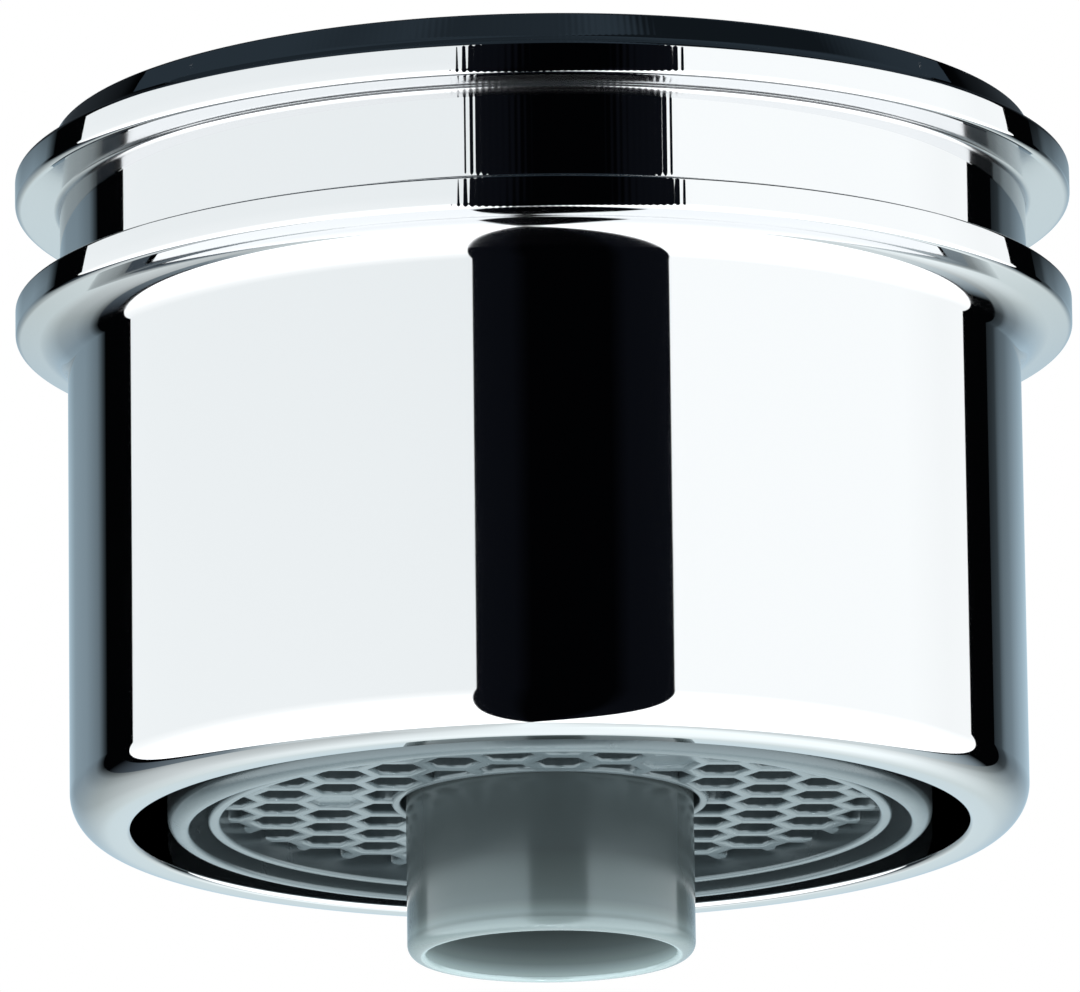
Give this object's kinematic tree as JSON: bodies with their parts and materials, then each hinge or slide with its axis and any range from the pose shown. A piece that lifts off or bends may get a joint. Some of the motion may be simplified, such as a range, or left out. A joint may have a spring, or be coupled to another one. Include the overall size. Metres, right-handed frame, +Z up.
{
  "type": "tap aerator",
  "caption": "Chromed tap aerator with a flanged, threaded sleeve, a plastic honeycomb outlet and a middle tube for a diverter's pull rod; mixes air into the water leaving a bath spout.",
  "frame": {"origin": "on the axis, at the upper end of the sleeve's spout thread, 0.6 mm below its mouth", "axes": "+Z up along the axis into the spout, water leaves along -Z; the picture looks along +Y, from a little below; +X is to its right"},
  "size_m": [0.0344, 0.0344, 0.0272],
  "materials": {
    "chrome": "bright chrome plate on brass",
    "grey_plastic": "satin moulded",
    "pale_plastic": "satin moulded",
    "steel_screen": "stainless wire",
    "black_rubber": "matte moulded"
  },
  "bodies": {
    "root": {"shell": "chrome", "insert_housing": "grey_plastic", "outlet_honeycomb": "grey_plastic", "guide_tube": "grey_plastic", "jet_splitter": "pale_plastic", "inlet_strainer": "pale_plastic", "screen_spacer": "pale_plastic", "upper_screen": "steel_screen", "lower_screen": "steel_screen", "sealing_washer": "black_rubber"}
  },
  "joints": []
}
